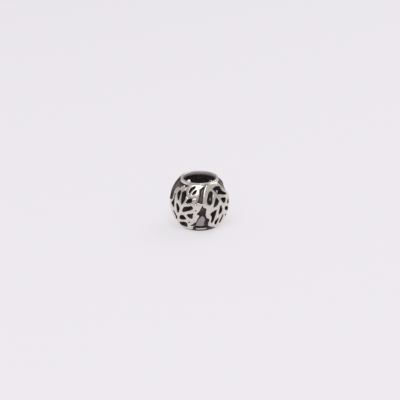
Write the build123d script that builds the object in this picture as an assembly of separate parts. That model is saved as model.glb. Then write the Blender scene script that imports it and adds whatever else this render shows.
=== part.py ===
from build123d import *
import os
from math import cos, hypot, radians, sin, sqrt

# Openwork charm bead: one silver casting, a hollow barrel of pierced leaves between two plain collars.
# Millimetres. +Z runs along the bore, the origin is at the bottom of the bead on its axis, and the front
# of the pattern faces -Y. The pattern of the front comes again on the back, turned about the axis.

# Main sizes
bead_diameter = 11.0      # across the leaves at the middle of the bead
bead_height = 9.24        # over the rims of both collars
bore_diameter = 6.0       # clear way through both collars
collar_wall = 0.45        # plain ring round each end of the bore
collar_step = 0.05        # how far the leaves' curve passes outside the collar at the rim
rim_round = 0.10          # rounding of the collars' edges
leaf_relief = 0.40        # height of the leaves above the ground between them
tongue_relief = 0.20      # height of the plain tongue above the same ground
ground_wall = 0.50        # thickness of the ground
rib_width = 0.40          # ribs between the openings of the large leaves
small_rib_width = 0.26    # ribs of the small leaf
relief_margin = 0.12      # the leaves stop this far from the rims
pattern_turns = (0, 185)  # turns of the pattern's two copies round the bead, in degrees
blind_opening = "hook"    # opening of the long leaf that stops at the ground in the copy on the back

# The pattern is drawn on planes that touch the bead, seen from its centre, for a bead with this height
# as a share of its diameter, and follows the bead where it is higher or lower.
drawn_height_share = 0.84

bead_radius = bead_diameter / 2
half_height = bead_height / 2
bore_radius = bore_diameter / 2
collar_radius = bore_radius + collar_wall
stretch = (bead_height / bead_diameter) / drawn_height_share

# Side curve of the leaves: an arc through the widest point and the rim, just outside the collar.
rim_fall = bead_radius - collar_radius - collar_step
leaf_arc = (rim_fall**2 + half_height**2) / (2 * rim_fall)
arc_centre = bead_radius - leaf_arc
ground_arc = leaf_arc - leaf_relief
tongue_arc = ground_arc + tongue_relief
inner_arc = ground_arc - ground_wall


def height_at(arc_radius, radius):
    """Height above the middle at which an arc of the side reaches this distance from the axis."""
    return sqrt(arc_radius**2 - (radius - arc_centre) ** 2)


def radius_at(arc_radius, height):
    """Distance from the axis at which an arc of the side reaches this height above the middle."""
    return arc_centre + sqrt(arc_radius**2 - height**2)


collar_foot = height_at(ground_arc, collar_radius)
land_foot = height_at(inner_arc, bore_radius)

# Every drawing below gives its plane's azimuth and latitude in degrees, azimuth 0 at the front, and its
# corners as (across, up) in hundredths of the bead's radius. An outline is raised, and each opening is
# the loop of its ribs' middles, from which half a rib is taken off all round.
SERRATED_LEAF = {
    "azimuth": -38,
    "latitude": 2,
    "rib": rib_width,
    "outline": [
        (-38, 27), (-41, 47), (-58, 53), (-55, 72), (-46, 81), (-35, 85), (-30, 76), (-25, 80), (-17, 93),
        (-7, 101), (-3, 88), (2, 85), (9, 101), (18, 95), (24, 75), (29, 55), (40, 57), (60, 62), (76, 63),
        (76, 55), (71, 45), (65, 33), (96, 32), (92, 21), (84, 8), (79, -1), (71, -8), (63, -15),
        (80, -22), (70, -37), (63, -52), (58, -60), (57, -72), (53, -80), (46, -85), (40, -104),
        (36, -128), (-48, -122), (-42, -76), (-27, -50), (-25, -41), (-29, -29), (-35, -14), (-36, 0),
    ],
    "openings": {
        "top_left": [
            (-23, 71), (-12, 69), (-8, 57), (-8, 41), (-8, 29), (-14, 22), (-23, 25), (-29, 36), (-33, 49),
            (-30, 62),
        ],
        "top_middle": [
            (3, 74), (11, 69), (17, 54), (17, 34), (12, 21), (2, 8), (-5, 19), (-7, 35), (-9, 49),
            (-9, 63),
        ],
        "top_right": [
            (34, 47), (42, 47), (46, 34), (42, 26), (30, 21), (21, 18), (13, 23), (17, 33), (22, 42),
        ],
        "middle_right": [
            (38, 20), (46, 17), (52, 9), (46, 1), (36, -5), (24, -9), (12, -14), (3, -13), (2, -5), (7, 7),
            (13, 12), (29, 16),
        ],
        "middle_left": [
            (-26, 17), (-14, 16), (-6, 8), (-2, 0), (-4, -10), (-8, -19), (-16, -26), (-22, -20),
            (-24, -10), (-26, 2),
        ],
        "low_right": [
            (54, -6), (51, -18), (50, -25), (50, -32), (45, -38), (36, -39), (26, -31), (19, -23),
            (20, -17), (27, -12), (37, -9),
        ],
        "low_middle": [
            (3, -20), (12, -21), (17, -27), (22, -35), (20, -43), (7, -48), (-7, -51), (-15, -48),
            (-16, -39), (-9, -27), (-3, -22),
        ],
        "root": [
            (-21, -64), (0, -55), (11, -53), (22, -61), (20, -74), (18, -91), (8, -101), (-14, -103),
            (-31, -104), (-36, -96), (-29, -75),
        ],
    },
}
LONG_LEAF = {
    "azimuth": 40,
    "latitude": 0,
    "rib": rib_width,
    "outline": [
        (-45, 127), (-53, 100), (-60, 80), (-65, 55), (-68, 31), (-65, 17), (-58, 14), (-50, 9), (-53, -1),
        (-54, -15), (-50, -25), (-43, -32), (-36, -32), (-36, -42), (-39, -54), (-38, -69), (-32, -78),
        (-22, -84), (-12, -86), (0, -97), (14, -109), (42, -122), (75, -135), (104, -150), (104, 45),
        (84, 55), (60, 71), (53, 85), (44, 107), (36, 127),
    ],
    "openings": {
        "blade": [
            (-20, 83), (-14, 73), (-12, 63), (-17, 50), (-20, 38), (-27, 19), (-42, 20), (-51, 29),
            (-50, 45), (-42, 66), (-35, 79),
        ],
        "blade_right": [(-25, 7), (-23, 20), (-15, 39), (-6, 50), (2, 40), (7, 28), (0, 15), (-10, 9)],
        "drop": [
            (11, 15), (16, 12), (18, 3), (21, -5), (20, -12), (16, -19), (9, -22), (-1, -25), (-4, -15),
            (-3, -7), (0, 4), (4, 12),
        ],
        "hook": [
            (-39, -14), (-29, -2), (-18, 2), (-5, 3), (-8, -15), (-11, -29), (-14, -48), (-20, -59),
            (-29, -58), (-32, -44), (-31, -25),
        ],
        "wedge": [
            (18, 41), (27, 40), (43, 35), (50, 28), (40, 16), (33, 11), (23, 12), (15, 20), (9, 31),
            (10, 38),
        ],
        "window": [
            (22, 99), (35, 94), (40, 83), (38, 76), (40, 66), (57, 57), (72, 45), (51, 41), (10, 48),
            (-1, 54), (-11, 74), (-15, 85), (-7, 95), (8, 99),
        ],
        "bean": [
            (45, 1), (59, -5), (74, -16), (79, -32), (61, -30), (44, -23), (32, -16), (27, -5), (32, 3),
        ],
        "side_slit": [(75, 26), (84, 17), (80, 1), (65, -1), (49, 5), (48, 14), (60, 23)],
        "low_slit": [(36, -29), (55, -38), (76, -49), (71, -64), (53, -53), (40, -42)],
        "root_left": [
            (4, -31), (10, -38), (8, -47), (8, -55), (8, -67), (6, -75), (0, -81), (-9, -70), (-13, -59),
            (-13, -46), (-6, -36),
        ],
        "root_right": [
            (20, -25), (30, -26), (33, -38), (33, -50), (33, -65), (30, -82), (20, -78), (11, -60),
            (12, -47), (15, -34),
        ],
    },
}
SMALL_LEAF = {
    "azimuth": -13,
    "latitude": 38,
    "rib": small_rib_width,
    "outline": [
        (-24, -11), (-25, 4), (-20, 16), (-26, 25), (32, 25), (30, 20), (24, 15), (20, 9), (21, -4),
        (20, -14), (16, -18), (5, -17), (-6, -19), (-17, -18),
    ],
    "openings": {
        "left": [
            (1, 21), (6, 15), (1, 6), (-5, 0), (-10, -7), (-15, -11), (-20, -6), (-19, 1), (-15, 11),
            (-7, 17),
        ],
        "right": [(8, 9), (11, 3), (10, -3), (7, -9), (2, -12), (-4, -14), (-8, -10), (-5, -2), (2, 6)],
    },
}
# Strap with three open veins, which joins the serrated leaf to the long leaf of the other copy
TIE = {
    "azimuth": -62,
    "latitude": 0,
    "rib": rib_width,
    "outline": [
        (16, -26), (18, -62), (-8, -62), (-32, -48), (-96, -66), (-96, 4), (-48, 12), (-18, 17), (-6, 25),
        (-7, 42), (-5, 58), (10, 60),
    ],
    "openings": {
        "upper_vein": [(-85, -3), (-74, 1), (-61, 3), (-60, -6), (-73, -12), (-86, -18)],
        "middle_vein": [(-85, -25), (-73, -20), (-59, -13), (-58, -23), (-72, -33), (-84, -38)],
        "lower_vein": [(-83, -46), (-71, -40), (-58, -31), (-57, -41), (-68, -49), (-80, -54)],
    },
}
# Low tongue with an arched top, which stands on the ground between the feet of the two leaves
PLAIN_TONGUE = {
    "azimuth": 3,
    "latitude": -24,
    "outline": [
        (3, 25), (10, 21), (14, 14), (15, 6), (12, -4), (10, -24), (-17, -24), (-16, -8), (-12, 1),
        (-8, 11), (-2, 19),
    ],
}
# Openings that are drawn at their full size
SLOTS = [
    {
        "azimuth": -38,
        "latitude": 2,
        "openings": {
            "foot_slot": [
                (32, -80), (34, -75), (40, -72), (47, -67), (52, -60), (58, -58), (62, -60), (62, -68),
                (57, -76), (50, -79), (43, -82), (34, -83),
            ],
            "small_slit": [(22, -58), (30, -51), (35, -52), (31, -57), (24, -62)],
            "pit": [(55, -1), (61, 3), (64, 1), (58, -4)],
        },
    },
    {
        "azimuth": -62,
        "latitude": 0,
        "openings": {
            "notch": [
                (-1, 52), (4, 49), (6, 29), (8, 20), (9, 2), (2, -5), (-5, 1), (-16, 6), (-7, 14), (-2, 22),
                (0, 29),
            ],
            "slit": [
                (-3, -17), (5, -16), (13, -24), (18, -37), (16, -45), (6, -55), (3, -49), (7, -37), (1, -24),
            ],
        },
    },
    {
        "azimuth": 3,
        "latitude": -41,
        "openings": {
            "collar_slot": [
                (-33, -36), (-27, -15), (-24, -6), (-19, 2), (-12, 6), (-1, 7), (11, 6), (20, 0),
                (30, -11), (38, -21), (49, -35), (46, -46), (36, -40), (28, -29), (21, -19), (9, -12),
                (-3, -11), (-12, -15), (-19, -22), (-26, -36),
            ],
        },
    },
]

# How near to the centre and how far from it the cutting prisms reach, as shares of the drawing's distance
prism_near = 0.5
prism_far = 1.2


def moved_inwards(corners, distance):
    """Corners of a loop after each of its sides has moved inwards by a distance."""
    turn = sum(a[0] * b[1] - b[0] * a[1] for a, b in zip(corners, corners[1:] + corners[:1]))
    side = 1 if turn > 0 else -1
    result = []
    for before, here, after in zip(corners[-1:] + corners[:-1], corners, corners[1:] + corners[:1]):
        first = (here[0] - before[0], here[1] - before[1])
        second = (after[0] - here[0], after[1] - here[1])
        first_length, second_length = hypot(*first), hypot(*second)
        first_normal = (-side * first[1] / first_length, side * first[0] / first_length)
        second_normal = (-side * second[1] / second_length, side * second[0] / second_length)
        share = 1 + first_normal[0] * second_normal[0] + first_normal[1] * second_normal[1]
        across = (first_normal[0] + second_normal[0]) * distance / share
        up = (first_normal[1] + second_normal[1]) * distance / share
        result.append((here[0] + across, here[1] + up))
    return result


def radial_prism(drawing, corners, inset=0.0):
    """Solid that a loop drawn on a touching plane sweeps as it is drawn towards the bead's centre."""
    azimuth, latitude = radians(drawing["azimuth"]), radians(drawing["latitude"])
    east = Vector(cos(azimuth), sin(azimuth), 0)
    outward = Vector(cos(latitude) * sin(azimuth), -cos(latitude) * cos(azimuth), sin(latitude))
    north = Vector(-sin(latitude) * sin(azimuth), sin(latitude) * cos(azimuth), cos(latitude))
    loop = [(across * bead_radius / 100, up * bead_radius / 100) for across, up in corners]
    if inset:
        loop = moved_inwards(loop, inset)
    rays = [outward * bead_radius + east * across + north * up for across, up in loop]
    ends = []
    for reach in (prism_near, prism_far):
        points = [Vector(r.X * reach, r.Y * reach, half_height + r.Z * reach * stretch) for r in rays]
        ends.append(Wire.make_polygon(points, close=True))
    return Solid.make_loft(ends, ruled=True)


def barrel_ring(outer_arc, half_length):
    """Turned ring between the inner wall and an arc of the side, cut off at a height above the middle."""
    inner_end = min(half_length, land_foot)
    with BuildPart() as ring:
        with BuildSketch(Plane.XZ):
            with BuildLine():
                bottom, top = half_height - half_length, half_height + half_length
                bottom_in, top_in = half_height - inner_end, half_height + inner_end
                end_radius = radius_at(outer_arc, half_length)
                inner_radius = radius_at(inner_arc, inner_end)
                ThreePointArc((end_radius, bottom), (arc_centre + outer_arc, half_height), (end_radius, top))
                ThreePointArc(
                    (inner_radius, bottom_in), (arc_centre + inner_arc, half_height), (inner_radius, top_in)
                )
                Polyline((end_radius, top), (inner_radius, top), (inner_radius, top_in))
                Polyline((end_radius, bottom), (inner_radius, bottom), (inner_radius, bottom_in))
            make_face()
        revolve(axis=Axis.Z)
    return ring.part


def collar(rim_height, foot_height):
    """Plain ring round one end of the bore, with its rim's edges rounded."""
    middle = (bore_radius + collar_radius) / 2
    with BuildPart() as ring:
        with BuildSketch(Plane.XZ):
            with Locations((middle, (rim_height + foot_height) / 2)):
                Rectangle(collar_wall, abs(rim_height - foot_height))
            rim_corners = vertices().sort_by(lambda v: abs(v.Y - rim_height))[:2]
            fillet(rim_corners, min(rim_round, 0.4 * collar_wall))
        revolve(axis=Axis.Z)
    return ring.part


def leaf_prisms():
    """Outlines of the raised leaves of one copy, as prisms towards the centre."""
    leaves = (SERRATED_LEAF, LONG_LEAF, SMALL_LEAF, TIE)
    return [radial_prism(leaf, leaf["outline"]) for leaf in leaves]


def opening_prism(leaf, name):
    """One opening of a leaf as a prism, as wide as its ribs leave it."""
    return radial_prism(leaf, leaf["openings"][name], leaf["rib"] / 2)


def opening_prisms(left_out=None):
    """Openings of one copy, through the leaves and through the ground."""
    prisms = []
    for leaf in (SERRATED_LEAF, LONG_LEAF, SMALL_LEAF, TIE):
        prisms += [opening_prism(leaf, name) for name in leaf["openings"] if name != left_out]
    for drawing in SLOTS:
        prisms += [radial_prism(drawing, corners) for corners in drawing["openings"].values()]
    return prisms


def turned(solids, turn):
    """The same solids after a turn about the bead's axis."""
    return [s.rotate(Axis.Z, turn) for s in solids]


def in_both_copies(solids):
    """The same solids in each copy of the pattern."""
    return [s for turn in pattern_turns for s in turned(solids, turn)]


def openwork_bead():
    """The whole casting: ground, raised leaves and tongues, openings and collars as one solid."""
    front, back = pattern_turns
    relief_end = half_height - relief_margin
    ground = barrel_ring(ground_arc, collar_foot)
    leaf_ring = barrel_ring(leaf_arc, relief_end)
    tongue_ring = barrel_ring(tongue_arc, collar_foot)
    tongue_prisms = [radial_prism(PLAIN_TONGUE, PLAIN_TONGUE["outline"])]
    blind = turned([opening_prism(LONG_LEAF, blind_opening)], back)
    leaves = [(leaf_ring & prism) - blind for prism in in_both_copies(leaf_prisms())]
    tongues = [tongue_ring & prism for prism in in_both_copies(tongue_prisms)]
    shell = ground + leaves + tongues
    through = turned(opening_prisms(), front) + turned(opening_prisms(left_out=blind_opening), back)
    pierced = shell - through
    bottom_collar = collar(0.0, half_height - land_foot)
    top_collar = collar(bead_height, half_height + land_foot)
    return pierced + [bottom_collar, top_collar]


os.makedirs("parts", exist_ok=True)
bead = openwork_bead()
export_step(bead, "parts/openwork_bead.step")
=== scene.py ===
import math
import bpy
import numpy as np
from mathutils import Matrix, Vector


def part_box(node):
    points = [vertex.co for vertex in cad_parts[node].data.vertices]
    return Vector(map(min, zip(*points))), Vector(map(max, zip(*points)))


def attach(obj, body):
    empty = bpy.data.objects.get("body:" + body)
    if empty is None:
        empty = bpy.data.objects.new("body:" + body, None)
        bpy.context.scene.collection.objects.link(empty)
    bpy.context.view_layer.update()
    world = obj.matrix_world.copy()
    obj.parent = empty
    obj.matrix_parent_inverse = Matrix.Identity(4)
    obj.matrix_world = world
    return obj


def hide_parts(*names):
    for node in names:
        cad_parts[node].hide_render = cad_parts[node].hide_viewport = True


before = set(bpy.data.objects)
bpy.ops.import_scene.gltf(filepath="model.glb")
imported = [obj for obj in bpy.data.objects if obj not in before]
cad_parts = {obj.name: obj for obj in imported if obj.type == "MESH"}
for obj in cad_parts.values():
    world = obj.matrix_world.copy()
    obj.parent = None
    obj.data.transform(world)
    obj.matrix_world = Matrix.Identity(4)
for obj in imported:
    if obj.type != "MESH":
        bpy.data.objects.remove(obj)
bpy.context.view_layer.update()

# The bead's body. One casting of sterling silver, hollow like a small barrel, open from end to end so that
# it slides on a bracelet. Its faces follow arcs that run round the axis, one inside the other.
mm = 0.001
lowest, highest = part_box("openwork_bead")
bead_radius = (highest.x - lowest.x) / 2
half_height = (highest.z - lowest.z) / 2
bore_radius = 3.0 * mm
collar_wall = 0.45 * mm
collar_radius = bore_radius + collar_wall
collar_step = 0.05 * mm
leaf_relief = 0.40 * mm
tongue_relief = 0.20 * mm
ground_wall = 0.50 * mm
edge_round = 0.06 * mm
foot_round = 0.06 * mm
rim_fall = bead_radius - collar_radius - collar_step
leaf_arc = (rim_fall**2 + half_height**2) / (2 * rim_fall)
arc_centre = bead_radius - leaf_arc
ground_arc = leaf_arc - leaf_relief
tongue_arc = ground_arc + tongue_relief
inner_arc = ground_arc - ground_wall
land_foot = math.sqrt(inner_arc**2 - (bore_radius - arc_centre) ** 2)


def soft_min(first, second, width):
    """The smaller of two fields with a rounded corner: the smaller less gap²/(4·width), where gap is the
    width less the difference between the two, and at least nought."""
    gap = np.clip(width - np.abs(first - second), 0, None)
    return np.minimum(first, second) - gap**2 / (4 * width)


def soft_max(first, second, width):
    """The larger of two fields with a rounded inner corner."""
    return -soft_min(-first, -second, width)


def arc_distance(radius, height):
    """Distance of a point from the circle round which the side's arcs are struck."""
    return np.hypot(radius - arc_centre, height)


def barrel_field(radius, height, outer_arc):
    """Depth inside a turned wall between the inner arc and an outer one: the lesser of the depths below
    the two, and never inside the bore."""
    distance = arc_distance(radius, height)
    wall = soft_min(outer_arc - distance, distance - inner_arc, foot_round)
    return np.minimum(wall, radius - bore_radius)


# The two collars. Plain rings that close the leaves at each end of the bore, cast with them and polished
# by hand, so that their edges are slightly round and they slide easily on the bracelet.
rim_round = 0.14 * mm


def collar_field(radius, height):
    """Depth inside both collars: the least depth below their outer wall, bore, rim and foot."""
    wall = soft_min(collar_radius - radius, radius - bore_radius, rim_round)
    rim = soft_min(half_height - np.abs(height), wall, rim_round)
    return soft_min(rim, np.abs(height) - land_foot, foot_round)


# The leaves. Two kinds of leaf with a small one between them, raised from the ground and pierced between
# their veins. They are drawn on planes that touch the bead, at an azimuth and a latitude in degrees, with
# corners (across, up) in hundredths of its radius, and come twice round the bead.
rib_width = 0.40 * mm
small_rib_width = 0.26 * mm
relief_margin = 0.12 * mm
pattern_turns = (0, 185)
drawn_height_share = 0.84
SERRATED_LEAF = {
    "azimuth": -38,
    "latitude": 2,
    "rib": rib_width,
    "outline": [
        (-38, 27), (-41, 47), (-58, 53), (-55, 72), (-46, 81), (-35, 85), (-30, 76), (-25, 80), (-17, 93),
        (-7, 101), (-3, 88), (2, 85), (9, 101), (18, 95), (24, 75), (29, 55), (40, 57), (60, 62), (76, 63),
        (76, 55), (71, 45), (65, 33), (96, 32), (92, 21), (84, 8), (79, -1), (71, -8), (63, -15),
        (80, -22), (70, -37), (63, -52), (58, -60), (57, -72), (53, -80), (46, -85), (40, -104),
        (36, -128), (-48, -122), (-42, -76), (-27, -50), (-25, -41), (-29, -29), (-35, -14), (-36, 0),
    ],
    "openings": {
        "top_left": [
            (-23, 71), (-12, 69), (-8, 57), (-8, 41), (-8, 29), (-14, 22), (-23, 25), (-29, 36), (-33, 49),
            (-30, 62),
        ],
        "top_middle": [
            (3, 74), (11, 69), (17, 54), (17, 34), (12, 21), (2, 8), (-5, 19), (-7, 35), (-9, 49),
            (-9, 63),
        ],
        "top_right": [
            (34, 47), (42, 47), (46, 34), (42, 26), (30, 21), (21, 18), (13, 23), (17, 33), (22, 42),
        ],
        "middle_right": [
            (38, 20), (46, 17), (52, 9), (46, 1), (36, -5), (24, -9), (12, -14), (3, -13), (2, -5), (7, 7),
            (13, 12), (29, 16),
        ],
        "middle_left": [
            (-26, 17), (-14, 16), (-6, 8), (-2, 0), (-4, -10), (-8, -19), (-16, -26), (-22, -20),
            (-24, -10), (-26, 2),
        ],
        "low_right": [
            (54, -6), (51, -18), (50, -25), (50, -32), (45, -38), (36, -39), (26, -31), (19, -23),
            (20, -17), (27, -12), (37, -9),
        ],
        "low_middle": [
            (3, -20), (12, -21), (17, -27), (22, -35), (20, -43), (7, -48), (-7, -51), (-15, -48),
            (-16, -39), (-9, -27), (-3, -22),
        ],
        "root": [
            (-21, -64), (0, -55), (11, -53), (22, -61), (20, -74), (18, -91), (8, -101), (-14, -103),
            (-31, -104), (-36, -96), (-29, -75),
        ],
    },
}
LONG_LEAF = {
    "azimuth": 40,
    "latitude": 0,
    "rib": rib_width,
    "outline": [
        (-45, 127), (-53, 100), (-60, 80), (-65, 55), (-68, 31), (-65, 17), (-58, 14), (-50, 9), (-53, -1),
        (-54, -15), (-50, -25), (-43, -32), (-36, -32), (-36, -42), (-39, -54), (-38, -69), (-32, -78),
        (-22, -84), (-12, -86), (0, -97), (14, -109), (42, -122), (75, -135), (104, -150), (104, 45),
        (84, 55), (60, 71), (53, 85), (44, 107), (36, 127),
    ],
    "openings": {
        "blade": [
            (-20, 83), (-14, 73), (-12, 63), (-17, 50), (-20, 38), (-27, 19), (-42, 20), (-51, 29),
            (-50, 45), (-42, 66), (-35, 79),
        ],
        "blade_right": [(-25, 7), (-23, 20), (-15, 39), (-6, 50), (2, 40), (7, 28), (0, 15), (-10, 9)],
        "drop": [
            (11, 15), (16, 12), (18, 3), (21, -5), (20, -12), (16, -19), (9, -22), (-1, -25), (-4, -15),
            (-3, -7), (0, 4), (4, 12),
        ],
        "hook": [
            (-39, -14), (-29, -2), (-18, 2), (-5, 3), (-8, -15), (-11, -29), (-14, -48), (-20, -59),
            (-29, -58), (-32, -44), (-31, -25),
        ],
        "wedge": [
            (18, 41), (27, 40), (43, 35), (50, 28), (40, 16), (33, 11), (23, 12), (15, 20), (9, 31),
            (10, 38),
        ],
        "window": [
            (22, 99), (35, 94), (40, 83), (38, 76), (40, 66), (57, 57), (72, 45), (51, 41), (10, 48),
            (-1, 54), (-11, 74), (-15, 85), (-7, 95), (8, 99),
        ],
        "bean": [
            (45, 1), (59, -5), (74, -16), (79, -32), (61, -30), (44, -23), (32, -16), (27, -5), (32, 3),
        ],
        "side_slit": [(75, 26), (84, 17), (80, 1), (65, -1), (49, 5), (48, 14), (60, 23)],
        "low_slit": [(36, -29), (55, -38), (76, -49), (71, -64), (53, -53), (40, -42)],
        "root_left": [
            (4, -31), (10, -38), (8, -47), (8, -55), (8, -67), (6, -75), (0, -81), (-9, -70), (-13, -59),
            (-13, -46), (-6, -36),
        ],
        "root_right": [
            (20, -25), (30, -26), (33, -38), (33, -50), (33, -65), (30, -82), (20, -78), (11, -60),
            (12, -47), (15, -34),
        ],
    },
}
SMALL_LEAF = {
    "azimuth": -13,
    "latitude": 38,
    "rib": small_rib_width,
    "outline": [
        (-24, -11), (-25, 4), (-20, 16), (-26, 25), (32, 25), (30, 20), (24, 15), (20, 9), (21, -4),
        (20, -14), (16, -18), (5, -17), (-6, -19), (-17, -18),
    ],
    "openings": {
        "left": [
            (1, 21), (6, 15), (1, 6), (-5, 0), (-10, -7), (-15, -11), (-20, -6), (-19, 1), (-15, 11),
            (-7, 17),
        ],
        "right": [(8, 9), (11, 3), (10, -3), (7, -9), (2, -12), (-4, -14), (-8, -10), (-5, -2), (2, 6)],
    },
}
# A strap with three open veins ties the serrated leaf to the long leaf of the other copy.
TIE = {
    "azimuth": -62,
    "latitude": 0,
    "rib": rib_width,
    "outline": [
        (16, -26), (18, -62), (-8, -62), (-32, -48), (-96, -66), (-96, 4), (-48, 12), (-18, 17), (-6, 25),
        (-7, 42), (-5, 58), (10, 60),
    ],
    "openings": {
        "upper_vein": [(-85, -3), (-74, 1), (-61, 3), (-60, -6), (-73, -12), (-86, -18)],
        "middle_vein": [(-85, -25), (-73, -20), (-59, -13), (-58, -23), (-72, -33), (-84, -38)],
        "lower_vein": [(-83, -46), (-71, -40), (-58, -31), (-57, -41), (-68, -49), (-80, -54)],
    },
}

# The pattern is worked out once, on a map of the bead: azimuth all the way round, latitude up to the rims.
# A drawing reaches only the directions that face its plane by at least a given share. The finished maps are
# softened a little, so that the drawn corners come out as round as a casting's.
map_step = 0.04 * mm
map_edge = math.radians(62)
map_columns = int(2 * math.pi * bead_radius / map_step)
map_rows = int(2 * map_edge * bead_radius / map_step)
map_azimuths = np.arange(map_columns) * 2 * math.pi / map_columns
map_latitudes = np.linspace(-map_edge, map_edge, map_rows)
upright = half_height / bead_radius / drawn_height_share
far_outside = 5 * mm
least_outward = 0.35
soft_passes = 3


def smooth_loop(corners, steps=3):
    """Points of a closed curve that passes through each corner, where it runs in the direction from the
    corner before to the corner after, as a Catmull-Rom curve does."""
    here = np.array(corners, float)
    before, after, later = np.roll(here, 1, 0), np.roll(here, -1, 0), np.roll(here, -2, 0)
    t = (np.arange(steps) / steps)[:, None, None]
    slope = after - before
    bend = 2 * before - 5 * here + 4 * after - later
    twist = 3 * (here - after) + later - before
    points = here + (slope * t + bend * t**2 + twist * t**3) / 2
    return points.transpose(1, 0, 2).reshape(-1, 2)


def depth_inside(across, up, corners):
    """Distance to a closed outline of straight sides, positive inside: the least distance to a side, with
    its sign from how many sides lie to the right of the point."""
    nearest = np.full(across.shape, np.inf)
    inside = np.zeros(across.shape, bool)
    for (x0, y0), (x1, y1) in zip(corners, np.roll(corners, -1, axis=0)):
        dx, dy = x1 - x0, y1 - y0
        share = np.clip(((across - x0) * dx + (up - y0) * dy) / (dx**2 + dy**2), 0, 1)
        gap = np.hypot(across - x0 - share * dx, up - y0 - share * dy)
        nearest = np.minimum(nearest, gap)
        passes = (y0 > up) != (y1 > up)
        left_of_side = ((across - x0) * dy < (up - y0) * dx) == (dy > 0)
        inside ^= passes & left_of_side
    return np.where(inside, nearest, -nearest)


def drawn_on_map(drawing, loops, turns=pattern_turns):
    """Map of the depth inside the nearest of some loops: each direction's ray is followed to the plane on
    which they are drawn, in each copy of the pattern."""
    result = np.full((map_columns, map_rows), -far_outside)
    lat = math.radians(drawing["latitude"])
    for turn in turns:
        azimuth = math.radians(drawing["azimuth"] + turn)
        side = np.cos(map_azimuths - azimuth)[:, None]
        flat, rise = np.cos(map_latitudes)[None, :], np.sin(map_latitudes)[None, :] / upright
        outward = flat * side * math.cos(lat) + rise * math.sin(lat)
        seen = outward > least_outward
        reach = bead_radius / np.where(seen, outward, 1)
        across = (np.sin(map_azimuths - azimuth)[:, None] * flat * reach)[seen]
        up = ((rise * math.cos(lat) - flat * side * math.sin(lat)) * reach)[seen]
        depths = [depth_inside(across, up, loop) - inset for loop, inset in loops]
        result[seen] = np.maximum(result[seen], np.max(depths, axis=0))
    return result


def in_metres(corners):
    """Corners in hundredths of the bead's radius, as lengths."""
    return np.array(corners) * bead_radius / 100


def softened(field, passes):
    """A map after its values are shared with their neighbours some times, which rounds its corners."""
    for _ in range(passes):
        field = (np.roll(field, 1, 0) + 2 * field + np.roll(field, -1, 0)) / 4
        padded = np.pad(field, ((0, 0), (1, 1)), "edge")
        field = (padded[:, :-2] + 2 * padded[:, 1:-1] + padded[:, 2:]) / 4
    return field


# In the copy on the back, the long leaf's opening named hook goes down to the ground only.
leaf_map = np.full((map_columns, map_rows), -far_outside)
opening_map = np.full((map_columns, map_rows), -far_outside)
for leaf in (SERRATED_LEAF, LONG_LEAF, SMALL_LEAF, TIE):
    outline = [(in_metres(leaf["outline"]), 0.0)]
    openings = {name: (smooth_loop(in_metres(c)), leaf["rib"] / 2) for name, c in leaf["openings"].items()}
    leaf_map = np.maximum(leaf_map, drawn_on_map(leaf, outline))
    opening_map = np.maximum(opening_map, drawn_on_map(leaf, list(openings.values()), pattern_turns[:1]))
    if leaf is LONG_LEAF:
        blind = openings.pop("hook")
        leaf_map = np.minimum(leaf_map, -drawn_on_map(leaf, [blind], pattern_turns[1:]))
    opening_map = np.maximum(opening_map, drawn_on_map(leaf, list(openings.values()), pattern_turns[1:]))

# The ground between the leaves. It keeps the grain of the casting and is blackened, with a plain tongue
# that stands up from it near the lower collar, and a few slots that are drawn at their full size.
PLAIN_TONGUE = {
    "azimuth": 3,
    "latitude": -24,
    "outline": [
        (3, 25), (10, 21), (14, 14), (15, 6), (12, -4), (10, -24), (-17, -24), (-16, -8), (-12, 1),
        (-8, 11), (-2, 19),
    ],
}
SLOTS = [
    {
        "azimuth": -38,
        "latitude": 2,
        "openings": {
            "foot_slot": [
                (32, -80), (34, -75), (40, -72), (47, -67), (52, -60), (58, -58), (62, -60), (62, -68),
                (57, -76), (50, -79), (43, -82), (34, -83),
            ],
            "small_slit": [(22, -58), (30, -51), (35, -52), (31, -57), (24, -62)],
            "pit": [(55, -1), (61, 3), (64, 1), (58, -4)],
        },
    },
    {
        "azimuth": -62,
        "latitude": 0,
        "openings": {
            "notch": [
                (-1, 52), (4, 49), (6, 29), (8, 20), (9, 2), (2, -5), (-5, 1), (-16, 6), (-7, 14), (-2, 22),
                (0, 29),
            ],
            "slit": [
                (-3, -17), (5, -16), (13, -24), (18, -37), (16, -45), (6, -55), (3, -49), (7, -37), (1, -24),
            ],
        },
    },
    {
        "azimuth": 3,
        "latitude": -41,
        "openings": {
            "collar_slot": [
                (-33, -36), (-27, -15), (-24, -6), (-19, 2), (-12, 6), (-1, 7), (11, 6), (20, 0),
                (30, -11), (38, -21), (49, -35), (46, -46), (36, -40), (28, -29), (21, -19), (9, -12),
                (-3, -11), (-12, -15), (-19, -22), (-26, -36),
            ],
        },
    },
]
# Soft hollows in the leaves' tops: the slope down to the strip of ground right of the small leaf, and a
# shallow groove round the small leaf, which makes it stand out from the leaf beside it.
SLOPE = {
    "azimuth": -38,
    "latitude": 2,
    "outline": [
        (85, 118), (83, 90), (81, 68), (76, 53), (71, 41), (66, 31), (60, 23), (53, 23), (54, 30), (58, 40),
        (61, 50), (67, 62), (72, 71), (74, 86), (75, 109),
    ],
}
hollow_depth = 0.14 * mm
hollow_slope = 0.15 * mm
groove_width = 0.35 * mm
slope_map = drawn_on_map(SLOPE, [(in_metres(SLOPE["outline"]), 0.0)])
from_small_leaf = -drawn_on_map(SMALL_LEAF, [(in_metres(SMALL_LEAF["outline"]), 0.0)])
groove_map = np.minimum(from_small_leaf, groove_width - from_small_leaf)
hollow_map = np.clip(np.maximum(slope_map, groove_map) / hollow_slope, 0, 1)
tongue_map = drawn_on_map(PLAIN_TONGUE, [(in_metres(PLAIN_TONGUE["outline"]), 0.0)])
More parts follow.
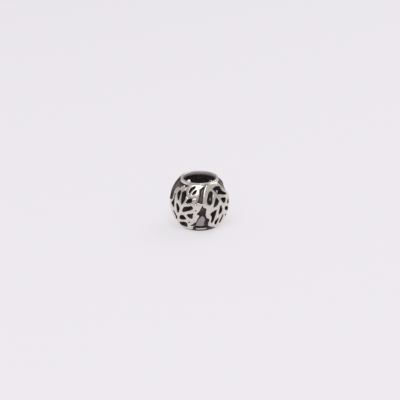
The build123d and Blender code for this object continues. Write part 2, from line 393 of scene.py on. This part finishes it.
for slots in SLOTS:
    openings = [(in_metres(corners), 0.0) for corners in slots["openings"].values()]
    opening_map = np.maximum(opening_map, drawn_on_map(slots, openings))
leaf_map = softened(leaf_map, soft_passes)
tongue_map = softened(tongue_map, soft_passes)
opening_map = softened(opening_map, soft_passes)
hollow_map = softened(hollow_map, soft_passes)

# The casting's skin. Leaves, tongue, ground and collars are one field, positive in the silver, and the skin
# is where it is nought. The openings are cut through with round edges, as tumbling leaves them.


def read_map(field, azimuth, latitude):
    """A map's value in each direction, between its four nearest values."""
    column = azimuth / (2 * math.pi) * map_columns
    row = np.clip((latitude + map_edge) / (2 * map_edge) * (map_rows - 1), 0, map_rows - 1.001)
    i, j = np.floor(column).astype(int), np.floor(row).astype(int)
    s, t = column - i, row - j
    i, after = i % map_columns, (i + 1) % map_columns
    low = field[i, j] * (1 - s) + field[after, j] * s
    high = field[i, j + 1] * (1 - s) + field[after, j + 1] * s
    return low * (1 - t) + high * t


def silver_field(azimuth, latitude, distance):
    """Depth inside the casting: the deepest of leaves, tongue and ground, less what the openings take,
    joined to the collars."""
    radius, height = distance * np.cos(latitude), distance * np.sin(latitude)
    leaf = read_map(leaf_map, azimuth, latitude)
    tongue = read_map(tongue_map, azimuth, latitude)
    opening = read_map(opening_map, azimuth, latitude)
    hollow = read_map(hollow_map, azimuth, latitude) * hollow_depth
    leaves = soft_min(barrel_field(radius, height, leaf_arc) - hollow, leaf, edge_round)
    tongues = soft_min(barrel_field(radius, height, tongue_arc), tongue, edge_round)
    ground = barrel_field(radius, height, ground_arc)
    raised = soft_max(leaves, tongues, foot_round)
    body = soft_min(soft_max(raised, ground, foot_round), -opening, edge_round)
    trimmed = soft_min(body, half_height - relief_margin - np.abs(height), foot_round)
    return soft_max(trimmed, collar_field(radius, height), foot_round)


def to_points(azimuth, latitude, distance):
    """Places from directions and distances from the bead's centre."""
    radius = distance * np.cos(latitude)
    height = distance * np.sin(latitude) + half_height
    return np.stack([radius * np.sin(azimuth), -radius * np.cos(azimuth), height], axis=-1)


def from_points(points):
    """Directions and distances from the bead's centre, from places."""
    x, y, z = points[:, 0], points[:, 1], points[:, 2] - half_height
    radius = np.hypot(x, y)
    return np.arctan2(x, -y), np.arctan2(z, radius), np.hypot(radius, z)


def slope_at(points, step=0.02 * mm):
    """The field's value and slope at some places, from its values a small step to each side."""
    value = silver_field(*from_points(points))
    slope = np.empty_like(points)
    for axis in range(3):
        shift = np.zeros(3)
        shift[axis] = step
        above = silver_field(*from_points(points + shift))
        slope[:, axis] = (above - silver_field(*from_points(points - shift))) / (2 * step)
    return value, slope


# The grid that the skin is found on. It is as fine as the limit on triangles allows, and reaches from just
# inside the nearest silver to just outside the farthest.
skin_step = 0.103 * mm
depth_step = 0.104 * mm
skin_edge = math.radians(60)
columns = int(2 * math.pi * bead_radius / skin_step)
rows = int(2 * skin_edge * bead_radius / skin_step)
near, far = 4.45 * mm, 5.95 * mm
layers = int((far - near) / depth_step)
azimuths = np.arange(columns) * 2 * math.pi / columns
latitudes = np.linspace(-skin_edge, skin_edge, rows)
distances = np.linspace(near, far, layers)
field = silver_field(*np.meshgrid(azimuths, latitudes, distances, indexing="ij"))


def skin_of(field):
    """One point in each cell of a grid that the skin passes through, at the middle of where it crosses the
    cell's edges, and one four-sided face round each crossed edge. The first axis closes on itself."""
    cells = (field.shape[0], field.shape[1] - 1, field.shape[2] - 1)

    def corner(shift):
        """The field at one corner of every cell."""
        turned = np.roll(field, -shift[0], axis=0)
        return turned[:, shift[1]:shift[1] + cells[1], shift[2]:shift[2] + cells[2]]

    places = np.zeros(cells + (3,))
    crossings = np.zeros(cells)
    for axis in range(3):
        for second in (0, 1):
            for third in (0, 1):
                start = np.zeros(3, int)
                start[(axis + 1) % 3], start[(axis + 2) % 3] = second, third
                end = start.copy()
                end[axis] = 1
                low, high = corner(start), corner(end)
                crossed = (low > 0) != (high > 0)
                share = low / np.where(crossed, low - high, 1)
                for direction in range(3):
                    along = share if direction == axis else start[direction]
                    places[..., direction] += crossed * along
                crossings += crossed
    used = crossings > 0
    numbers = np.full(cells, -1)
    numbers[used] = np.arange(used.sum())
    points = np.argwhere(used) + places[used] / crossings[used][:, None]
    faces = []
    for axis in range(3):
        inside = field > 0
        after = np.roll(inside, -1, axis)
        edge = np.argwhere(inside != after)
        leaving = inside[tuple(edge.T)]
        ring = []
        for second, third in ((-1, -1), (0, -1), (0, 0), (-1, 0)):
            cell = edge.copy()
            cell[:, (axis + 1) % 3] += second
            cell[:, (axis + 2) % 3] += third
            cell[:, 0] %= cells[0]
            ring.append(numbers[tuple(cell.T)])
        ring = np.stack(ring, axis=1)
        faces.append(np.where(leaving[:, None], ring, ring[:, ::-1]))
    return points, np.concatenate(faces)


least_steepness = 0.25


def relaxed(points, faces, rounds=4):
    """Points drawn towards the mean of their neighbours and back on to the skin, so that they are evenly
    spaced."""
    starts = faces.ravel()
    ends = np.roll(faces, -1, axis=1).ravel()
    counts = np.bincount(starts, minlength=len(points)) + np.bincount(ends, minlength=len(points))
    for _ in range(rounds):
        total = np.empty_like(points)
        for axis in range(3):
            total[:, axis] = np.bincount(starts, points[ends, axis], len(points))
            total[:, axis] += np.bincount(ends, points[starts, axis], len(points))
        points = points + (total / counts[:, None] - points) / 2
        for _ in range(2):
            value, slope = slope_at(points)
            steepness = np.maximum((slope**2).sum(1), least_steepness)
            move = np.clip(value / steepness, -skin_step / 2, skin_step / 2)
            points = points - move[:, None] * slope
    return points


cell_points, skin_faces = skin_of(field)
skin_azimuths = cell_points[:, 0] * 2 * math.pi / columns
skin_latitudes = -skin_edge + cell_points[:, 1] * 2 * skin_edge / (rows - 1)
skin_distances = near + cell_points[:, 2] * (far - near) / (layers - 1)
skin_points = relaxed(to_points(skin_azimuths, skin_latitudes, skin_distances), skin_faces)

skin_mesh = bpy.data.meshes.new("openwork_casting")
skin_mesh.from_pydata(skin_points.tolist(), [], skin_faces.tolist())
skin_mesh.polygons.foreach_set("use_smooth", np.ones(len(skin_faces), bool))
casting = bpy.data.objects.new("openwork_casting", skin_mesh)
bpy.context.scene.collection.objects.link(casting)

# How far each point lies below what the polishing wheel reaches, whether it faces outwards, and how far it is
# from an opening and from the foot of what is raised. The wheel reaches the leaves' tops, the collars' outer
# walls and their rims, but not what the slot lays bare of the lower collar. The lower collar's foot, just
# above the table, is also left dark and unpolished as painted shade, for the shadowed table that it would
# reflect; the depth below holds this painted shade too.
collar_reach = 0.03 * mm
unpolished_and_painted_shade_depth = 0.4 * mm
shaded_foot_band = (0.24 * mm, 0.34 * mm)
slot_band = (-0.06 * mm, 0.01 * mm)
slot_top = 0.1 * mm - land_foot
skin_azimuths, skin_latitudes, _ = from_points(skin_points)
from_opening = -read_map(opening_map, skin_azimuths, skin_latitudes)
from_raised = -read_map(np.maximum(leaf_map, tongue_map), skin_azimuths, skin_latitudes)
from_tongue = -read_map(tongue_map, skin_azimuths, skin_latitudes)
radii = np.hypot(skin_points[:, 0], skin_points[:, 1])
heights = skin_points[:, 2] - half_height
_, slopes = slope_at(skin_points)
normals = -slopes / np.linalg.norm(slopes, axis=1)[:, None]
below_leaves = leaf_arc - arc_distance(radii, heights)
below_collars = np.minimum(collar_radius - radii, half_height - np.abs(heights))
on_collars = np.where(below_collars > -collar_reach, below_collars, far_outside)
recess_and_painted_shade = np.clip(np.minimum(below_leaves, on_collars), 0, None)
# Painted shade: the lower collar's foot counts as deep, so that it comes out dark and unpolished.
painted_foot_shade = np.interp(half_height + heights, shaded_foot_band, (unpolished_and_painted_shade_depth, 0.0))
by_slot = np.interp(from_opening, slot_band, (unpolished_and_painted_shade_depth, 0.0)) * (heights < slot_top)
recess_and_painted_shade = np.maximum(recess_and_painted_shade, np.maximum(painted_foot_shade, by_slot))
outwards = np.stack([skin_points[:, 0], skin_points[:, 1], heights], axis=1)
facing = (normals * outwards).sum(1) / np.linalg.norm(outwards, axis=1)


def keep_on_points(mesh, name, values):
    """Stores one number for each point of a mesh, which its material reads by name."""
    layer = mesh.attributes.new(name, "FLOAT", "POINT")
    layer.data.foreach_set("value", values.astype(np.float32))


# The land, a band of the bore just inside each rim, is rubbed grey by the bracelet that runs through it.
land_reach = 0.05 * mm
land_band = (0.42 * mm, 0.58 * mm)
below_rim = half_height - np.abs(heights)
on_land = (radii < bore_radius + land_reach) * np.interp(below_rim, land_band, (1.0, 0.0))
keep_on_points(skin_mesh, "from_opening_mm", from_opening / mm)
keep_on_points(skin_mesh, "from_raised_mm", np.minimum(from_raised, radii - collar_radius) / mm)
keep_on_points(skin_mesh, "from_tongue_mm", from_tongue / mm)
keep_on_points(skin_mesh, "recess_and_painted_shade_mm", recess_and_painted_shade / mm)
keep_on_points(skin_mesh, "facing", facing)
keep_on_points(skin_mesh, "land", on_land)

# Its finish: cast sterling silver (925), blackened in a sulphide bath and then polished, so that the tops
# are bright and a little warm, the tongue is satin, the ground is dark grey and the walls are nearly black.
# Painted shade darkens the lower collar's foot, the ground at the leaves' feet and the low ground beside the
# tongue.


def linear(hex_colour):
    """A colour as written on the screen, turned to linear light, with an alpha of one."""
    shares = [int(hex_colour[i:i + 2], 16) / 255 for i in (1, 3, 5)]
    return [s / 12.92 if s <= 0.04045 else ((s + 0.055) / 1.055) ** 2.4 for s in shares] + [1.0]


def add_node(material, kind, settings=None, **inputs):
    """Adds a shader node with its settings and its inputs, each a value or another node's output."""
    node = material.node_tree.nodes.new(kind)
    for name, value in (settings or {}).items():
        setattr(node, name, value)
    for name, value in inputs.items():
        socket = node.inputs[int(name[1:])] if name[1:].isdigit() else node.inputs[name.replace("_", " ")]
        if isinstance(value, bpy.types.NodeSocket):
            material.node_tree.links.new(value, socket)
        else:
            socket.default_value = value
    return node


silver = bpy.data.materials.new("oxidised and polished sterling silver")
silver.use_nodes = True
silver.node_tree.nodes.clear()
place = add_node(silver, "ShaderNodeTexCoord").outputs["Object"]
recess_and_painted_shade_mm = add_node(silver, "ShaderNodeAttribute", {"attribute_name": "recess_and_painted_shade_mm"}).outputs["Fac"]
facing_out = add_node(silver, "ShaderNodeAttribute", {"attribute_name": "facing"}).outputs["Fac"]
land_share = add_node(silver, "ShaderNodeAttribute", {"attribute_name": "land"}).outputs["Fac"]
opening_mm = add_node(silver, "ShaderNodeAttribute", {"attribute_name": "from_opening_mm"}).outputs["Fac"]
raised_mm = add_node(silver, "ShaderNodeAttribute", {"attribute_name": "from_raised_mm"}).outputs["Fac"]
tongue_mm = add_node(silver, "ShaderNodeAttribute", {"attribute_name": "from_tongue_mm"}).outputs["Fac"]
stain_size = 0.9 * mm
grain_size = 0.10 * mm
grain_height = 0.012 * mm
scratch_size = 0.48 * mm
scratch_height = 0.006 * mm
scratch_squeeze = (1.0, 1.0, 7.0)
stain = add_node(silver, "ShaderNodeTexNoise", Vector=place, Scale=1 / stain_size, Detail=3.0)
grain = add_node(silver, "ShaderNodeTexNoise", Vector=place, Scale=1 / grain_size, Detail=2.0)
stretched = add_node(silver, "ShaderNodeMapping", Vector=place, Scale=scratch_squeeze)
scratch = add_node(
    silver, "ShaderNodeTexNoise", Vector=stretched.outputs[0], Scale=1 / scratch_size, Detail=4.0
)
smooth_step = {"interpolation_type": "SMOOTHSTEP"}

# Where each finish lies, with depths and distances in millimetres. The wheel polishes what is hardly sunk,
# and the cloth leaves the tongue's depth satin. Black stays on the openings' walls and on all that is steep.
# The depth read here includes the painted shade on the lower collar's foot, which is left unpolished.
polished = add_node(
    silver, "ShaderNodeMapRange", smooth_step, Value=recess_and_painted_shade_mm, From_Min=0.07, From_Max=0.02
).outputs[0]
half_polished = add_node(
    silver, "ShaderNodeMapRange", smooth_step, Value=recess_and_painted_shade_mm, From_Min=0.36, From_Max=0.22
).outputs[0]
wall = add_node(
    silver, "ShaderNodeMapRange", smooth_step, Value=opening_mm, From_Min=0.12, From_Max=0.03
).outputs[0]
steep = add_node(
    silver, "ShaderNodeMapRange", smooth_step, Value=facing_out, From_Min=0.65, From_Max=0.35
).outputs[0]

# The ground is lighter away from the leaves' feet, where the patina that the wheel misses is thickest and
# painted shade falls at the feet, and lighter away from the tongue, a painted shade on the low ground beside
# it.
feet_patina_and_shade = add_node(
    silver, "ShaderNodeMapRange", smooth_step, Value=raised_mm, From_Min=0.0, From_Max=0.5
).outputs[0]
painted_shade_by_tongue = add_node(
    silver, "ShaderNodeMapRange", smooth_step, Value=tongue_mm, From_Min=0.2, From_Max=2.6
).outputs[0]
stain_share = add_node(
    silver, "ShaderNodeMapRange", Value=stain.outputs["Fac"], From_Min=0.35, From_Max=0.65
).outputs[0]
blackened = add_node(silver, "ShaderNodeMath", {"operation": "MAXIMUM"}, _0=wall, _1=steep).outputs[0]
ground_patina_and_shade = add_node(
    silver, "ShaderNodeMath", {"operation": "MULTIPLY"}, _0=feet_patina_and_shade, _1=painted_shade_by_tongue
).outputs[0]
# The darker ground colour carries that patina and painted shade by the feet and the painted shade beside the
# tongue.
ground = add_node(
    silver, "ShaderNodeMix", {"data_type": "RGBA"},
    _0=ground_patina_and_shade, _6=linear("#3E3533"), _7=linear("#6B6563"),
).outputs[2]
satin = add_node(
    silver, "ShaderNodeMix", {"data_type": "RGBA"}, _0=half_polished, _6=ground, _7=linear("#A89EA0")
).outputs[2]
black = add_node(
    silver, "ShaderNodeMix", {"data_type": "RGBA"},
    _0=stain_share, _6=linear("#40363A"), _7=linear("#524A48"),
).outputs[2]
recessed = add_node(
    silver, "ShaderNodeMix", {"data_type": "RGBA"}, _0=blackened, _6=satin, _7=black
).outputs[2]
bright = add_node(
    silver, "ShaderNodeMix", {"data_type": "RGBA"},
    _0=stain_share, _6=linear("#DCD4CC"), _7=linear("#E8E2DA"),
).outputs[2]
worn = add_node(
    silver, "ShaderNodeMix", {"data_type": "RGBA"}, _0=land_share, _6=recessed, _7=linear("#BDB3AF")
).outputs[2]
colour = add_node(
    silver, "ShaderNodeMix", {"data_type": "RGBA"}, _0=polished, _6=worn, _7=bright
).outputs[2]

# Where the black covers the metal it is a dull crust rather than bare silver.
covered = add_node(
    silver, "ShaderNodeMath", {"operation": "SUBTRACT", "use_clamp": True}, _0=blackened, _1=polished
).outputs[0]
metallic = add_node(
    silver, "ShaderNodeMapRange", Value=covered, From_Min=0.0, From_Max=1.0, To_Min=1.0, To_Max=0.3
).outputs[0]
roughness = add_node(
    silver, "ShaderNodeMapRange", Value=polished, From_Min=0.0, From_Max=1.0, To_Min=0.45, To_Max=0.2
).outputs[0]
grain_bump = add_node(
    silver, "ShaderNodeBump", Strength=0.5, Distance=grain_height, Height=grain.outputs["Fac"]
)
scratch_bump = add_node(
    silver, "ShaderNodeBump", Strength=0.4, Distance=scratch_height,
    Height=scratch.outputs["Fac"], Normal=grain_bump.outputs[0],
)
surface = add_node(
    silver, "ShaderNodeBsdfPrincipled",
    Base_Color=colour, Metallic=metallic, Roughness=roughness, Normal=scratch_bump.outputs[0],
)
add_node(silver, "ShaderNodeOutputMaterial", Surface=surface.outputs[0])
skin_mesh.materials.append(silver)

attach(casting, "root")
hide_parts("openwork_bead")

# The table. A wide sheet of opal acrylic that glows, as if lit from below as well as from above, so that the
# bead hardly throws a shadow on it. Its glow is turned down under the bead's foot and just round it, a
# painted contact shadow that also keeps the bead's inside dark.
half_side = 4.0
full_glow = 0.66
painted_shadow_glow = 0.15
painted_shadow_edge = 1.2 * bore_radius
floor_mesh = bpy.data.meshes.new("light_table")
floor_corners = [(x * half_side, y * half_side, 0.0) for x, y in ((-1, -1), (1, -1), (1, 1), (-1, 1))]
floor_mesh.from_pydata(floor_corners, [], [(0, 1, 2, 3)])
floor = bpy.data.objects.new("light_table", floor_mesh)
bpy.context.scene.collection.objects.link(floor)
acrylic = bpy.data.materials.new("opal acrylic")
acrylic.use_nodes = True
acrylic.node_tree.nodes.clear()
on_sheet = add_node(acrylic, "ShaderNodeTexCoord").outputs["Object"]
from_bead = add_node(acrylic, "ShaderNodeVectorMath", {"operation": "LENGTH"}, _0=on_sheet).outputs["Value"]
# Painted shadow: the glow falls off towards the bead's foot.
glow_with_painted_shadow = add_node(
    acrylic, "ShaderNodeMapRange", smooth_step,
    Value=from_bead, From_Min=bore_radius, From_Max=painted_shadow_edge, To_Min=painted_shadow_glow, To_Max=full_glow,
).outputs[0]
sheet = add_node(
    acrylic, "ShaderNodeBsdfPrincipled", Base_Color=linear("#928F93"), Roughness=0.9,
    Emission_Color=linear("#F1EEF2"), Emission_Strength=glow_with_painted_shadow, Specular_IOR_Level=0.2,
)
add_node(acrylic, "ShaderNodeOutputMaterial", Surface=sheet.outputs[0])
floor_mesh.materials.append(acrylic)

# The studio light: a white room, a large soft box high above the camera and a weaker one behind on the right.


def soft_box(name, place, size, power, target=(0.0, 0.0, half_height)):
    """A square area light at a place, turned to a target."""
    data = bpy.data.lights.new(name, "AREA")
    data.shape = "SQUARE"
    data.size = size
    data.energy = power
    lamp = bpy.data.objects.new(name, data)
    lamp.location = place
    towards = Vector(target) - Vector(place)
    lamp.rotation_euler = towards.to_track_quat("-Z", "Y").to_euler()
    bpy.context.scene.collection.objects.link(lamp)


soft_box("key soft box", (-0.04, -0.27, 0.43), 0.40, 0.95)
soft_box("back soft box", (0.30, 0.25, 0.40), 0.30, 0.5)
room_strength = 0.65
room = bpy.data.worlds.new("white room")
room.use_nodes = True
room.node_tree.nodes["Background"].inputs[0].default_value = linear("#E9E7EA")
room.node_tree.nodes["Background"].inputs[1].default_value = room_strength
bpy.context.scene.world = room
bpy.context.scene.view_settings.view_transform = "Standard"

# The camera, at the photograph's height and distance, with the bead a little left of and below the middle of
# the frame.
view_distance = 220 * mm
view_height = math.radians(21.8)
frame_width = 73.7 * mm
sensor_width = 36.0
aim_right, aim_up = 0.09 * mm, 0.10 * mm
aim = (aim_right, 0.0, half_height + aim_up)
camera_data = bpy.data.cameras.new("camera")
camera_data.sensor_width = sensor_width
camera_data.lens = sensor_width * view_distance / frame_width
camera_data.clip_start = 0.01
camera = bpy.data.objects.new("camera", camera_data)
camera.location = (
    aim[0],
    aim[1] - view_distance * math.cos(view_height),
    aim[2] + view_distance * math.sin(view_height),
)
camera.rotation_euler = (math.pi / 2 - view_height, 0.0, 0.0)
bpy.context.scene.collection.objects.link(camera)
bpy.context.scene.camera = camera
